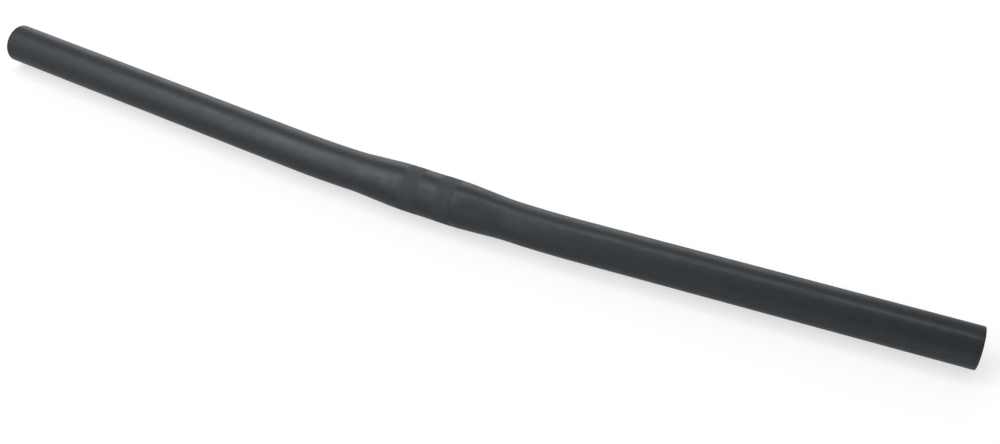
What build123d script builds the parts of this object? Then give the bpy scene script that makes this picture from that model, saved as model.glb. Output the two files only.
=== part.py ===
from build123d import *
import math
import os

# Flat handlebar of a bicycle: one aluminium tube, thick in the middle and thin at its ends.
# The tube keeps its full diameter where the stem clamps it, is swaged down to the grip
# diameter on each side, and is bent a few degrees back towards the rider.
# The origin is the middle of the clamp zone, +X runs along the bar to the rider's left,
# +Y points back to the rider and +Z up. All sizes are in millimetres.

# Whole bar
bar_width = 580.0  # tip to tip, square across the bicycle
back_sweep = 4.0  # degrees that each arm turns back towards the rider
bend_radius = 500.0  # of the tube's centre line

# Tube section
clamp_diameter = 25.4  # outside, where the stem holds it
grip_diameter = 22.2  # outside, where grips and levers go
clamp_wall = 2.9
grip_wall = 2.2

# Middle of the bar
knurl_gap = 10.0  # plain band between the two knurled ones
knurl_width = 10.5  # length of each knurled band
clamp_margin = 0.5  # plain tube between a knurled band and the shoulder
cone_length = 25.0  # of the swaged cone, from corner to corner
shoulder_blend = 100.0  # radius that rounds the cone's two corners
bend_lead = 2.0  # straight tube between the shoulder and the bend

# Rolled straight knurl
knurl_count = 60  # ridges round the tube
knurl_rise = 0.08  # height of the ridges above the tube
groove_depth = 0.2  # from the top of a ridge to the bottom of a groove
groove_angle = 120.0  # degrees between the two sides of a groove

# Broken edges of the tube's two cut ends
end_round = 0.6  # outside edge
end_chamfer = 0.4  # inside edge

# Radii and lengths that follow from them
clamp_radius = clamp_diameter / 2
grip_radius = grip_diameter / 2
clamp_bore = clamp_radius - clamp_wall
grip_bore = grip_radius - grip_wall
crest_radius = clamp_radius + knurl_rise
root_radius = crest_radius - groove_depth

knurl_start = knurl_gap / 2
knurl_end = knurl_start + knurl_width
clamp_half = knurl_end + clamp_margin

# A blend reaches this far from its corner, on both sides of it, whichever section is thicker
cone_angle = math.atan2(abs(clamp_radius - grip_radius), cone_length)
blend_reach = shoulder_blend * math.tan(cone_angle / 2)
cone_start = clamp_half + blend_reach
cone_end = cone_start + cone_length
straight_half = cone_end + blend_reach + bend_lead

# The arm starts where the bend ends, and its cut end reaches out to half the bar's width
sweep = math.radians(back_sweep)
arm_x = straight_half + bend_radius * math.sin(sweep)
arm_y = bend_radius * (1 - math.cos(sweep))
arm_direction = (math.cos(sweep), math.sin(sweep), 0)
face_reach = (grip_radius - end_round) * math.sin(sweep) + end_round * (1 - math.cos(sweep))
arm_length = (bar_width / 2 - arm_x - face_reach) / math.cos(sweep)
arm_plane = Plane(origin=(arm_x, arm_y, 0), z_dir=arm_direction)
bend_axis = Axis((straight_half, bend_radius, 0), (0, 0, 1))

# A groove's sides run out past the ridge, so that it cuts the surface cleanly
groove_top = crest_radius + groove_depth / 2
groove_half_width = (groove_top - root_radius) * math.tan(math.radians(groove_angle / 2))


with BuildPart() as handlebar:
    # Left half of the middle, turned about the bar's own axis: the clamp zone with the raised
    # band for its knurl, the shoulder with its blends, and the bore, which narrows under it
    with BuildSketch(Plane.XY):
        with BuildLine():
            Polyline(
                (0, clamp_bore),
                (0, clamp_radius),
                (knurl_start, clamp_radius),
                (knurl_start, crest_radius),
                (knurl_end, crest_radius),
                (knurl_end, clamp_radius),
            )
            FilletPolyline(
                (knurl_end, clamp_radius),
                (cone_start, clamp_radius),
                (cone_end, grip_radius),
                (straight_half, grip_radius),
                radius=shoulder_blend,
            )
            Polyline(
                (straight_half, grip_radius),
                (straight_half, grip_bore),
                (cone_end, grip_bore),
                (cone_start, clamp_bore),
                (0, clamp_bore),
            )
        make_face()
    revolve(axis=Axis.X)

    # Bend: the grip section swung about the centre of the bend
    with BuildSketch(Plane.YZ.offset(straight_half)):
        Circle(grip_radius)
        Circle(grip_bore, mode=Mode.SUBTRACT)
    revolve(axis=bend_axis, revolution_arc=back_sweep)

    # Arm: straight from the end of the bend to the cut end
    with BuildSketch(arm_plane):
        Circle(grip_radius)
        Circle(grip_bore, mode=Mode.SUBTRACT)
    extrude(amount=arm_length)

    # Cut end: rounded outside, chamfered inside
    cut_end = handlebar.faces().filter_by(GeomType.PLANE).sort_by(Axis.X)[-1]
    fillet(cut_end.outer_wire().edges(), radius=end_round)
    cut_end = handlebar.faces().filter_by(GeomType.PLANE).sort_by(Axis.X)[-1]
    chamfer(cut_end.inner_wires()[0].edges(), length=end_chamfer)

    # Straight knurl: V grooves rolled into the raised band, parallel to the bar
    with BuildSketch(Plane.YZ.offset(knurl_start)):
        with PolarLocations(0, knurl_count):
            Polygon(
                (root_radius, 0),
                (groove_top, groove_half_width),
                (groove_top, -groove_half_width),
                align=None,
            )
    extrude(amount=knurl_width, mode=Mode.SUBTRACT)

    # The right half is the left half's mirror image
    mirror(about=Plane.YZ)

handlebar.part.label = "handlebar"

os.makedirs("parts", exist_ok=True)
export_step(handlebar.part, "parts/handlebar.step")
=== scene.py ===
import math

import bmesh
import bpy
from mathutils import Matrix, Vector


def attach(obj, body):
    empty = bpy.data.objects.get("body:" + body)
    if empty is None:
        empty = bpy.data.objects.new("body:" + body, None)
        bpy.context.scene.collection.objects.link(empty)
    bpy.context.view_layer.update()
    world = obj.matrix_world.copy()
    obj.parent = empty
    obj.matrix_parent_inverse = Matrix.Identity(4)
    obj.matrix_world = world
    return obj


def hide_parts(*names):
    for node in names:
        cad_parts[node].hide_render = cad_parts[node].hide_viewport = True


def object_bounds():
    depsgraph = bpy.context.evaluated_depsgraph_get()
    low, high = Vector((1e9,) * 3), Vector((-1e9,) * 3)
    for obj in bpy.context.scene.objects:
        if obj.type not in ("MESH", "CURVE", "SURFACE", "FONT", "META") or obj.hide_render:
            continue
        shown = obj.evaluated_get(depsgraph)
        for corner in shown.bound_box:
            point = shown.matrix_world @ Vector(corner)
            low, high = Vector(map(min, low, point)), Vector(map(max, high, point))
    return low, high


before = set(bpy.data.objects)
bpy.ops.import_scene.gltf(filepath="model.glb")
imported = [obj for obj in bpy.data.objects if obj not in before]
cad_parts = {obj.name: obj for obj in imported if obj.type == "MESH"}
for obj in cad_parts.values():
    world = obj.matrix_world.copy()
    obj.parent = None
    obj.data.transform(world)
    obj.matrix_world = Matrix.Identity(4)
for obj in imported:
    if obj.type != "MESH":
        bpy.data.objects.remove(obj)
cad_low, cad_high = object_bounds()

# Handlebar: one length of drawn aluminium tube, full size where the stem clamps it, swaged
# down to the grips on both sides, knurled, bent back a few degrees, bead blasted and black
# anodised. It is one closed skin here. Sizes are in millimetres until a point is placed.
mm = 0.001

clamp_radius = 12.7
grip_radius = 11.1
clamp_bore = 9.8
grip_bore = 8.9

clamp_half = 16.0
cone_length = 25.0
blend_radius = 100.0
bend_lead = 2.0
bend_radius = 500.0
back_sweep = math.radians(4.0)
half_width = 290.0

knurl_start = 5.0
knurl_end = 15.5
knurl_count = 60
crest_radius = 12.78
root_radius = 12.58
# The wheels that roll the knurl have broken corners, so its grooves run out at both ends.
# The stem rubs the crests, and less and less down their sides.
run_out = 0.7
rub_fall = 6

end_round = 0.6
end_chamfer = 0.4

# The swaged cone meets the clamp zone and the grip in arcs that touch both
cone_slope = math.atan2(clamp_radius - grip_radius, cone_length)
blend_reach = blend_radius * math.tan(cone_slope / 2)
cone_start = clamp_half + blend_reach
cone_end = cone_start + cone_length
straight_half = cone_end + blend_reach + bend_lead

# The arm starts where the bend ends, and its cut end reaches out to half the bar's width
bend_length = bend_radius * back_sweep
arm_x = straight_half + bend_radius * math.sin(back_sweep)
face_reach = (grip_radius - end_round) * math.sin(back_sweep) + end_round * (1 - math.cos(back_sweep))
arm_length = (half_width - arm_x - face_reach) / math.cos(back_sweep)
arm_start = straight_half + bend_length
half_length = arm_start + arm_length


def centre_line(along):
    """Where the tube's centre line is after a length from the middle, and its direction there."""
    reach = abs(along)
    side = 1.0 if along >= 0 else -1.0
    turn = min(max(reach - straight_half, 0.0) / bend_radius, back_sweep)
    before, past = min(reach, straight_half), max(reach - arm_start, 0.0)
    x = before + bend_radius * math.sin(turn) + past * math.cos(turn)
    y = bend_radius * (1 - math.cos(turn)) + past * math.sin(turn)
    return (side * x, y), (math.cos(turn), side * math.sin(turn))


def outside(reach):
    """Outer radius of the tube without its knurl."""
    if reach <= cone_start - blend_reach:
        return clamp_radius
    if reach < cone_start + blend_reach * math.cos(cone_slope):
        into_arc = reach - cone_start + blend_reach
        return clamp_radius - blend_radius + math.sqrt(blend_radius**2 - into_arc**2)
    if reach <= cone_end - blend_reach * math.cos(cone_slope):
        return clamp_radius - (reach - cone_start) * math.tan(cone_slope)
    if reach < cone_end + blend_reach:
        into_arc = cone_end + blend_reach - reach
        return grip_radius + blend_radius - math.sqrt(blend_radius**2 - into_arc**2)
    return grip_radius


def bore(reach):
    """Radius of the bore, which is narrow at the grips and wide in the middle."""
    share = min(max((reach - cone_start) / cone_length, 0.0), 1.0)
    return clamp_bore + (grip_bore - clamp_bore) * share


def steps(start, end, count):
    """count even steps from start, which is left out, to end."""
    return [start + (end - start) * (k + 1) / count for k in range(count)]


# Points round the tube, as (share of a groove's spacing, height from its bottom to its crest):
# a V groove whose top edges the blasting has rounded, and a wide crest
groove_shape = (
    (0.0, 0.08), (0.1, 0.46), (0.19, 0.86), (0.27, 0.985),
    (0.5, 1.0), (0.73, 0.985), (0.81, 0.86), (0.9, 0.46),
)
fine_round = [
    ((tooth + share) / knurl_count * math.tau, height)
    for tooth in range(knurl_count)
    for share, height in groove_shape
]
plain_round = fine_round[::2]
bore_round = fine_round[::4]

TUBE, KNURL, CUT_END, BORE = range(4)

# Rows of points from the middle to one cut end and back through the bore: length from the
# middle, radius at a groove's bottom and at its crest, points round, finish, how rubbed
rows = []
for reach in steps(0.0, knurl_start, 3):
    rows.append((reach, clamp_radius, clamp_radius, fine_round, TUBE, 0.0))
# A groove's run-out, as (share of its length, share of the full depth)
fade = ((0.3, 0.3), (0.65, 0.7), (1.0, 1.0))
knurl = [(knurl_start + run_out * share, depth) for share, depth in fade]
knurl += [(reach, 1.0) for reach in steps(knurl_start + run_out, knurl_end - run_out, 6)]
knurl += [(knurl_end - run_out * share, depth) for share, depth in fade[-2::-1]]
for reach, depth in knurl:
    bottom = clamp_radius + (root_radius - clamp_radius) * depth
    crest = clamp_radius + (crest_radius - clamp_radius) * depth
    rows.append((reach, bottom, crest, fine_round, KNURL, depth))
rows.append((knurl_end, clamp_radius, clamp_radius, fine_round, KNURL, 0.0))
rows.append((clamp_half, clamp_radius, clamp_radius, fine_round, TUBE, 0.0))

# Shoulder, straight lead, bend and arm
places = steps(clamp_half, cone_start + blend_reach, 6)
places += steps(cone_start + blend_reach, cone_end - blend_reach, 4)
places += steps(cone_end - blend_reach, cone_end + blend_reach, 6)
places += steps(cone_end + blend_reach, straight_half, 1)
places += steps(straight_half, arm_start, 12)
places += steps(arm_start, half_length - 3 * end_round, 20)
places += steps(half_length - 3 * end_round, half_length - end_round, 2)
rows += [(reach, outside(reach), outside(reach), plain_round, TUBE, 0.0) for reach in places]

# Rounded edge of the cut end, its flat face and its chamfer
for turn in steps(0.0, math.pi / 2, 6):
    reach = half_length - end_round * (1 - math.sin(turn))
    radius = grip_radius - end_round * (1 - math.cos(turn))
    rows.append((reach, radius, radius, plain_round, CUT_END, math.sin(2 * turn)))
for radius in steps(grip_radius - end_round, grip_bore + end_chamfer, 3):
    rows.append((half_length, radius, radius, plain_round, CUT_END, 0.0))
rows.append((half_length - end_chamfer, grip_bore, grip_bore, bore_round, CUT_END, 0.0))

# Back through the bore
places = steps(half_length - end_chamfer, arm_start, 20)
places += steps(arm_start, straight_half, 8)
places += steps(straight_half, cone_end, 1)
places += steps(cone_end, cone_start, 4)
rows += [(reach, bore(reach), bore(reach), bore_round, BORE, 0.0) for reach in places]

skin = bmesh.new()
unbent = skin.verts.layers.float_vector.new("unbent")
rubbed = skin.verts.layers.float.new("rubbed")


def ring(along, bottom, crest, points, rub):
    """One row of points round the tube. Each keeps its place on the tube before the bend."""
    (x, y), (dx, dy) = centre_line(along)
    row = []
    for angle, height in points:
        radius = bottom + (crest - bottom) * height
        back, up = radius * math.cos(angle), radius * math.sin(angle)
        point = skin.verts.new(((x - dy * back) * mm, (y + dx * back) * mm, up * mm))
        point[unbent] = (along, back, up)
        point[rubbed] = rub * height**rub_fall
        row.append(point)
    return row


def bridge(first, second, finish):
    """Faces between two rows, of which one may have twice as many points as the other."""
    fine, coarse = (first, second) if len(first) >= len(second) else (second, first)
    step = len(fine) // len(coarse)
    for k, point in enumerate(coarse):
        after = coarse[(k + 1) % len(coarse)]
        run = [fine[(k * step + j) % len(fine)] for j in range(step + 1)]
        if step == 1:
            made = [(run[0], run[1], after, point)]
        else:
            made = [(run[0], run[1], point), (run[1], after, point), (run[1], run[2], after)]
        for corners in made:
            skin.faces.new(corners).material_index = finish


middle = ring(0.0, clamp_radius, clamp_radius, fine_round, 0.0)
innermost = []
for side in (1, -1):
    last = middle
    for reach, bottom, crest, points, finish, rub in rows:
        row = ring(side * reach, bottom, crest, points, rub)
        bridge(last, row, finish)
        last = row
    innermost.append(last)
bridge(innermost[0], innermost[1], BORE)

bmesh.ops.recalc_face_normals(skin, faces=skin.faces)
for face in skin.faces:
    face.smooth = True
tube = bpy.data.meshes.new("handlebar_tube")
skin.to_mesh(tube)
skin.free()
# Only the bottoms of the grooves and the edges of the chamfer are crisp
crisp_angle = math.radians(40)
tube.set_sharp_from_angle(angle=crisp_angle)
handlebar = bpy.data.objects.new("handlebar_tube", tube)
bpy.context.scene.collection.objects.link(handlebar)


def linear(code):
    """Linear colour of an sRGB hex code."""
    shares = [int(code[k:k + 2], 16) / 255 for k in (1, 3, 5)]
    return tuple(s / 12.92 if s <= 0.04045 else ((s + 0.055) / 1.055) ** 2.4 for s in shares) + (1.0,)


def add_node(material, kind, settings=(), links=()):
    """Adds a node. Lower-case names set the node itself, and others, and numbers, its sockets."""
    tree = material.node_tree
    node = tree.nodes.new(kind)
    for name, value in dict(settings).items():
        if isinstance(name, str) and name[0].islower():
            setattr(node, name, value)
        else:
            node.inputs[name].default_value = value
    for name, source in dict(links).items():
        tree.links.new(source, node.inputs[name])
    return node


# Anodised aluminium, dyed black in the bath: a deep, slightly cool charcoal. The dye takes a
# little unevenly, in soft clouds, and wears lighter on the crests and the cut end's edge. The
# porous film reflects less at a glancing angle than bare metal does.
dye_dark = linear("#303336")
dye_light = linear("#363a3d")
dye_worn = linear("#484c4e")
glancing = (0.7, 0.7, 0.7, 1.0)
dye_cloud = 4.0  # millimetres, as all the patterns' sizes
dye_wear = 0.2  # how far the rubbed crests go to the worn colour
cloud_low, cloud_high = 0.25, 0.75
noise_low, noise_high = 0.3, 0.7  # where nearly all of a noise lies


def anodised(name):
    """A dyed material without its surface: the material, its shader and the unbent place."""
    material = bpy.data.materials.new(name)
    material.use_nodes = True
    material.node_tree.nodes.clear()
    place = add_node(material, "ShaderNodeAttribute", {"attribute_name": "unbent"}).outputs["Vector"]
    clouds = add_node(
        material, "ShaderNodeTexNoise",
        {"Scale": 1 / dye_cloud, "Detail": 6.0, "Roughness": 0.65}, {"Vector": place},
    ).outputs["Fac"]
    spread = add_node(
        material, "ShaderNodeMapRange", {"From Min": cloud_low, "From Max": cloud_high}, {"Value": clouds}
    ).outputs["Result"]
    dyed = add_node(
        material, "ShaderNodeMix", {"data_type": "RGBA", 6: dye_dark, 7: dye_light}, {0: spread}
    ).outputs[2]
    rubbed = add_node(material, "ShaderNodeAttribute", {"attribute_name": "rubbed"}).outputs["Fac"]
    share = add_node(
        material, "ShaderNodeMath", {"operation": "MULTIPLY", 1: dye_wear}, {0: rubbed}
    ).outputs[0]
    worn = add_node(
        material, "ShaderNodeMix", {"data_type": "RGBA", 7: dye_worn}, {0: share, 6: dyed}
    ).outputs[2]
    shader = add_node(
        material, "ShaderNodeBsdfPrincipled",
        {"Metallic": 0.8, "Specular Tint": glancing}, {"Base Color": worn},
    )
    add_node(material, "ShaderNodeOutputMaterial", links={"Surface": shader.outputs[0]})
    return material, shader, place


# Bead blasting leaves dimples of about 0.1 mm, and the drawing die lines of about 0.05 mm
# along the tube. Both are too fine to show, so they are drawn 0.22 and 0.4 mm wide.
dimple, dimple_depth = 0.22, 0.016
die_line, die_line_depth = 0.4, 0.012
die_line_length = 60.0
handling_mark = 7.0

# Bead blasted wall: a satin that spreads the lamps into soft bands. Handling leaves faint
# smoother patches, and the die lines show a little through the blasting.
blasted, shader, place = anodised("blasted_black_anodise")
patches = add_node(
    blasted, "ShaderNodeTexNoise", {"Scale": 1 / handling_mark, "Detail": 5.0}, {"Vector": place}
).outputs["Fac"]
drawn = add_node(
    blasted, "ShaderNodeVectorMath",
    {"operation": "MULTIPLY", 1: (die_line / die_line_length, 1.0, 1.0)}, {0: place},
).outputs[0]
lines = add_node(
    blasted, "ShaderNodeTexNoise", {"Scale": 1 / die_line, "Detail": 2.0}, {"Vector": drawn}
).outputs["Fac"]
dimples = add_node(
    blasted, "ShaderNodeTexNoise", {"Scale": 1 / dimple, "Detail": 2.0}, {"Vector": place}
).outputs["Fac"]
satin = add_node(
    blasted, "ShaderNodeMapRange",
    {"From Min": noise_low, "From Max": noise_high, "To Min": 0.34, "To Max": 0.43}, {"Value": patches},
).outputs["Result"]
streak = add_node(
    blasted, "ShaderNodeMapRange",
    {"From Min": noise_low, "From Max": noise_high, "To Min": -0.05, "To Max": 0.05}, {"Value": lines},
).outputs["Result"]
rough = add_node(blasted, "ShaderNodeMath", {"operation": "ADD"}, {0: satin, 1: streak}).outputs[0]
lined = add_node(
    blasted, "ShaderNodeBump", {"Distance": die_line_depth * mm}, {"Height": lines}
).outputs[0]
beaten = add_node(
    blasted, "ShaderNodeBump", {"Distance": dimple_depth * mm}, {"Height": dimples, "Normal": lined}
).outputs[0]
blasted.node_tree.links.new(rough, shader.inputs["Roughness"])
blasted.node_tree.links.new(beaten, shader.inputs["Normal"])

# Rolled knurl: the wheels press the grooves in, and the blasting afterwards reaches their
# bottoms least, so those stay a little rougher than the crests, which the stem rubs.
rolled_dimple_depth = 0.012
rolled, shader, place = anodised("rolled_black_anodise")
rubbed = add_node(rolled, "ShaderNodeAttribute", {"attribute_name": "rubbed"}).outputs["Fac"]
dimples = add_node(
    rolled, "ShaderNodeTexNoise", {"Scale": 1 / dimple, "Detail": 2.0}, {"Vector": place}
).outputs["Fac"]
rough = add_node(
    rolled, "ShaderNodeMapRange", {"To Min": 0.48, "To Max": 0.42}, {"Value": rubbed}
).outputs["Result"]
beaten = add_node(
    rolled, "ShaderNodeBump", {"Distance": rolled_dimple_depth * mm}, {"Height": dimples}
).outputs[0]
rolled.node_tree.links.new(rough, shader.inputs["Roughness"])
rolled.node_tree.links.new(beaten, shader.inputs["Normal"])

# Cut end: faced on a lathe, which leaves fine rings at its feed of about 0.1 mm a turn, too
# fine to show, so they are drawn 0.35 mm apart. They turn the light round the end.
ring_spacing, ring_depth = 0.35, 0.008
wave_scale = math.tau / 20 / ring_spacing  # the wave texture repeats every tau / 20
faced, shader, place = anodised("faced_black_anodise")
rings = add_node(
    faced, "ShaderNodeTexWave",
    {"wave_type": "RINGS", "rings_direction": "X", "Scale": wave_scale, "Distortion": 0.4},
    {"Vector": place},
).outputs["Fac"]
rough = add_node(
    faced, "ShaderNodeMapRange", {"To Min": 0.30, "To Max": 0.42}, {"Value": rings}
).outputs["Result"]
ridged = add_node(faced, "ShaderNodeBump", {"Distance": ring_depth * mm}, {"Height": rings}).outputs[0]
faced.node_tree.links.new(rough, shader.inputs["Roughness"])
faced.node_tree.links.new(ridged, shader.inputs["Normal"])

# Bore: as the drawing mandrel left it and not blasted, so its lines are deeper and it is
# smoother than the outside.
bore_line_depth = 0.02
bored, shader, place = anodised("drawn_black_anodise")
drawn = add_node(
    bored, "ShaderNodeVectorMath",
    {"operation": "MULTIPLY", 1: (die_line / die_line_length, 1.0, 1.0)}, {0: place},
).outputs[0]
lines = add_node(
    bored, "ShaderNodeTexNoise", {"Scale": 1 / die_line, "Detail": 2.0}, {"Vector": drawn}
).outputs["Fac"]
rough = add_node(
    bored, "ShaderNodeMapRange",
    {"From Min": noise_low, "From Max": noise_high, "To Min": 0.26, "To Max": 0.38}, {"Value": lines},
).outputs["Result"]
lined = add_node(
    bored, "ShaderNodeBump", {"Distance": bore_line_depth * mm}, {"Height": lines}
).outputs[0]
bored.node_tree.links.new(rough, shader.inputs["Roughness"])
bored.node_tree.links.new(lined, shader.inputs["Normal"])

for finish in (blasted, rolled, faced, bored):
    tube.materials.append(finish)

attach(handlebar, "root")
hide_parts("handlebar")

# Floor: a wide sheet of white card under the bar, which rests on it at its clamp zone. The
# eye and the bar's sheen see it white, more so farther out, and it keeps the bar's soft shadow.
floor_radius = 8.0
white_near, white_far = 0.62, 1.0
near_end, far_start = 0.6, 3.5
sheet = bmesh.new()
bmesh.ops.create_circle(sheet, cap_ends=True, radius=floor_radius, segments=96)
card_mesh = bpy.data.meshes.new("floor")
sheet.to_mesh(card_mesh)
sheet.free()
floor = bpy.data.objects.new("floor", card_mesh)
floor.location.z = cad_low.z
bpy.context.scene.collection.objects.link(floor)

card = bpy.data.materials.new("white_card")
card.use_nodes = True
card.node_tree.nodes.clear()
rays = add_node(card, "ShaderNodeLightPath").outputs
either = add_node(
    card, "ShaderNodeMath", {"operation": "MAXIMUM"}, {0: rays["Is Camera Ray"], 1: rays["Is Glossy Ray"]}
).outputs[0]
seen = add_node(
    card, "ShaderNodeMath", {"operation": "MAXIMUM"}, {0: either, 1: rays["Is Transmission Ray"]}
).outputs[0]
spot = add_node(card, "ShaderNodeTexCoord").outputs["Object"]
out = add_node(card, "ShaderNodeVectorMath", {"operation": "LENGTH"}, {0: spot}).outputs["Value"]
glow_there = add_node(
    card, "ShaderNodeMapRange",
    {
        "interpolation_type": "SMOOTHSTEP",
        "From Min": near_end, "From Max": far_start, "To Min": white_near, "To Max": white_far,
    },
    {"Value": out},
).outputs["Result"]
lift = add_node(card, "ShaderNodeMath", {"operation": "MULTIPLY"}, {0: seen, 1: glow_there}).outputs[0]
paper = add_node(card, "ShaderNodeBsdfDiffuse", {"Color": linear("#a8a8a8")}).outputs[0]
glow = add_node(card, "ShaderNodeEmission", links={"Strength": lift}).outputs[0]
both = add_node(card, "ShaderNodeAddShader", links={0: paper, 1: glow}).outputs[0]
add_node(card, "ShaderNodeOutputMaterial", links={"Surface": both})
card_mesh.materials.append(card)

# Studio: a white room, greyer on the side of the bar's left arm, with soft lamps three metres
# away: the key softbox with its brighter core above the right arm, a strip above the bar, a wide
# one and a low one behind it, and a weak one in front.
room_light = 0.8
grey_side = 0.5
side_start, side_end = -0.16, 0.1
room = bpy.data.worlds.new("white_room")
bpy.context.scene.world = room
room.use_nodes = True
room.node_tree.nodes.clear()
rays = add_node(room, "ShaderNodeLightPath").outputs
either = add_node(
    room, "ShaderNodeMath", {"operation": "MAXIMUM"}, {0: rays["Is Camera Ray"], 1: rays["Is Glossy Ray"]}
).outputs[0]
seen = add_node(
    room, "ShaderNodeMath", {"operation": "MAXIMUM"}, {0: either, 1: rays["Is Transmission Ray"]}
).outputs[0]
level = add_node(
    room, "ShaderNodeMapRange", {"To Min": room_light, "To Max": 1.0}, {"Value": seen}
).outputs["Result"]
heading = add_node(room, "ShaderNodeTexCoord").outputs["Generated"]
leftward = add_node(room, "ShaderNodeSeparateXYZ", links={0: heading}).outputs["X"]
side_wall = add_node(
    room, "ShaderNodeMapRange",
    {
        "interpolation_type": "SMOOTHSTEP",
        "From Min": side_start, "From Max": side_end, "To Min": 1.0, "To Max": grey_side,
    },
    {"Value": leftward},
).outputs["Result"]
wall = add_node(
    room, "ShaderNodeMath", {"operation": "MAXIMUM"}, {0: side_wall, 1: rays["Is Camera Ray"]}
).outputs[0]
walls = add_node(room, "ShaderNodeBackground", links={"Color": wall, "Strength": level}).outputs[0]
add_node(room, "ShaderNodeOutputWorld", links={"Surface": walls})

# Name, direction from the bar, width along the bar, height across it, degrees it is turned on
# its stand, brightness of its face and colour of its light
lamps = (
    ("key_softbox", (-0.51, -0.42, 0.74), 0.75, 3.3, 6.0, 4.5, "#fff5f2"),
    ("key_core", (-0.51, -0.14, 0.84), 0.75, 1.5, 6.0, 2.15, "#fff5f2"),
    ("strip_above", (-0.05, 0.18, 0.98), 2.0, 0.5, 0.0, 4.5, "#ffffff"),
    ("wide_behind", (-0.34, 0.89, 0.28), 2.4, 1.55, 0.0, 1.6, "#ffffff"),
    ("low_behind", (-0.34, 0.94, 0.08), 3.0, 0.45, 0.0, 1.4, "#ffffff"),
    ("low_fill", (-0.38, -0.90, 0.22), 1.8, 1.2, 0.0, 0.7, "#ffffff"),
)
lamp_distance = 3.0
for name, direction, width, height, turn, brightness, light in lamps:
    lamp_data = bpy.data.lights.new(name, "AREA")
    lamp_data.shape = "RECTANGLE"
    lamp_data.size, lamp_data.size_y = width, height
    lamp_data.energy = brightness * math.pi * width * height
    lamp_data.color = linear(light)[:3]
    lamp = bpy.data.objects.new(name, lamp_data)
    away = Vector(direction).normalized()
    across = away.cross(Vector((1.0, 0.0, 0.0))).normalized()
    facing = Matrix((across.cross(away), across, away)).transposed().to_4x4()
    facing = facing @ Matrix.Rotation(-math.radians(turn), 4, "Z")
    lamp.matrix_world = Matrix.Translation(away * lamp_distance) @ facing
    bpy.context.scene.collection.objects.link(lamp)

# Camera: above and in front of the bar, over its left arm, as the photograph was taken.
camera_data = bpy.data.cameras.new("camera")
camera_data.sensor_width = 36.0
camera_data.lens = 46.463
camera_data.clip_start, camera_data.clip_end = 0.05, 50.0
camera = bpy.data.objects.new("camera", camera_data)
camera_place = (0.236707, -0.452052, 0.47913)
azimuth, elevation, roll = math.radians(23.473), math.radians(44.396), math.radians(1.099)
turned = Matrix.Rotation(azimuth, 4, "Z") @ Matrix.Rotation(math.pi / 2 - elevation, 4, "X")
turned = turned @ Matrix.Rotation(roll, 4, "Z")
camera.matrix_world = Matrix.Translation(camera_place) @ turned
bpy.context.scene.collection.objects.link(camera)
bpy.context.scene.camera = camera
bpy.context.scene.view_settings.view_transform = "Standard"
